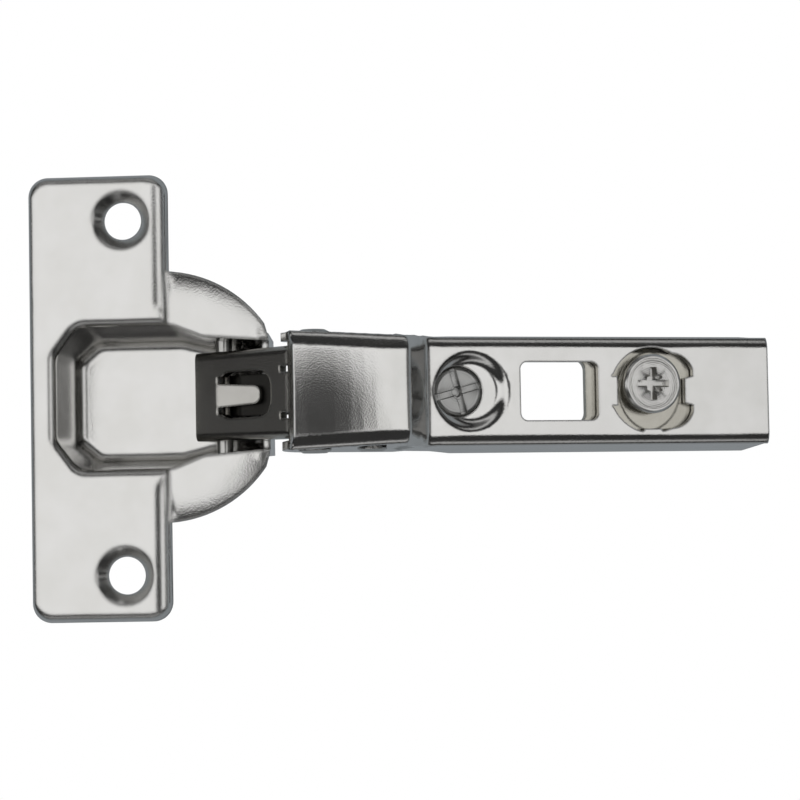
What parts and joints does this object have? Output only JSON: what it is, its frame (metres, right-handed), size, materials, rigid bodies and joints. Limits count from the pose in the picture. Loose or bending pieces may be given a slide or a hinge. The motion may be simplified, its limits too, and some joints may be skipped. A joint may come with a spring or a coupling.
{
  "type": "concealed cabinet hinge",
  "caption": "Concealed cup hinge with a cranked arm: a pressed cup with flange, folding links, and a channel arm with adjusting screw and cam.",
  "frame": {"origin": "on the axis of the 35 mm cup, in the plane of the door's inner face", "axes": "+Z out of the door's inner face, +X from the cup to the arm, Y along the flange and parallel to the hinge's pins; stored opened to 110 degrees"},
  "size_m": [0.1087, 0.0654, 0.0379],
  "materials": {
    "nickel_plate": "satin nickel plating on pressed steel",
    "dark_link": "satin nickel plating that mirrors the dark well",
    "pin_steel": "nickel plated",
    "screw_steel": "nickel plated, turned",
    "cam_zinc": "turned face with fine rings",
    "base_plate": "warm zinc or nickel plating",
    "spring_steel": "plain spring wire"
  },
  "bodies": {
    "cup": {"hinge_cup": "nickel_plate", "cup_pin_outer": "pin_steel", "cup_pin_inner": "pin_steel", "closing_spring": "spring_steel"},
    "outer_link": {"outer_link": "dark_link"},
    "inner_link": {"inner_link": "dark_link"},
    "arm": {"hinge_arm": "nickel_plate", "arm_pin_front": "pin_steel", "arm_pin_rear": "pin_steel"},
    "overlay_screw": {"overlay_screw": "screw_steel"},
    "base": {"base_slide": "base_plate", "lever_pin": "pin_steel", "lever_spring": "spring_steel"},
    "depth_cam": {"depth_cam": "cam_zinc"},
    "lever": {"release_lever": "base_plate"}
  },
  "joints": [
    {"name": "link_swing", "type": "hinge", "parent": "cup", "child": "outer_link", "pos_m": [0.009, 0, -0.0086], "axis": [0, -1, 0], "range_deg": [0, 66.67], "deforming": ["closing_spring"]},
    {"name": "arm_fold", "type": "hinge", "parent": "outer_link", "child": "arm", "pos_m": [0.023, 0, 0.006], "axis": [0, -1, 0], "range_deg": [0, 43.4]},
    {"name": "inner_link_swing", "type": "hinge", "parent": "cup", "child": "inner_link", "pos_m": [0.0085, 0, -0.0042], "axis": [0, -1, 0], "range_deg": [0, 90.4]},
    {"name": "overlay_turn", "type": "hinge", "parent": "arm", "child": "overlay_screw", "pos_m": [0.04299, 0, -0.0034], "axis": [0.342, 0, 0.9397], "range_deg": [-180, 180]},
    {"name": "depth_slide", "type": "slide", "parent": "arm", "child": "base", "axis": [0.9397, 0, -0.342], "range_m": [-0.0012, 0.0018]},
    {"name": "cam_turn", "type": "hinge", "parent": "base", "child": "depth_cam", "pos_m": [0.07124, 0.0005, -0.01262], "axis": [0.342, 0, 0.9397], "range_deg": [-121, 181]},
    {"name": "lever_press", "type": "hinge", "parent": "base", "child": "lever", "pos_m": [0.0782, 0, -0.02069], "axis": [0, -1, 0], "range_deg": [0, 12], "stiffness_Nm_per_rad": 0.02, "springref_deg": -17.19, "deforming": ["lever_spring"]}
  ],
  "couplings": [
    {"joint": "arm_fold", "follows": "link_swing", "ratio": 0.65},
    {"joint": "inner_link_swing", "follows": "link_swing", "ratio": 1.355},
    {"joint": "cam_turn", "follows": "depth_slide", "rad_per_m": 1745.3}
  ]
}
